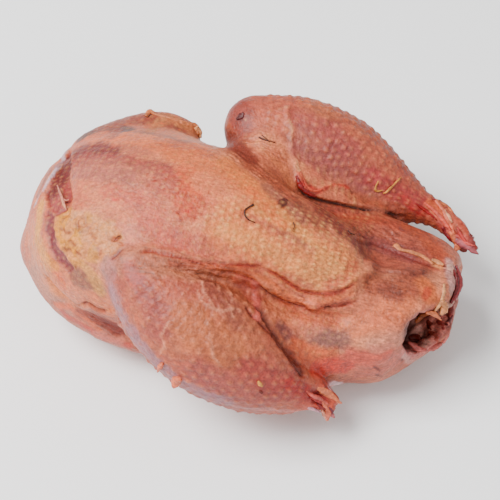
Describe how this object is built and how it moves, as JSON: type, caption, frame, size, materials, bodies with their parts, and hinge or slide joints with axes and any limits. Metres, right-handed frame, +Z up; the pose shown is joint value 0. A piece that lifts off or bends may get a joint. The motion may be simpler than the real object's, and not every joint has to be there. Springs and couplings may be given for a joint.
{
  "type": "whole pheasant",
  "caption": "Whole plucked and dressed game bird lying on its back, breast up, legs cut at the hock and belly open at the vent.",
  "frame": {"origin": "centre of the bird's bounding box, on the flat of its back that it rests on", "axes": "+X along the body from the neck end to the vent, +Z up from the back to the breast"},
  "size_m": [0.1954, 0.1482, 0.0868],
  "materials": {
    "raw_skin": "moist raw skin, satin"
  },
  "bodies": {
    "root": {"pheasant": "raw_skin"}
  },
  "joints": []
}
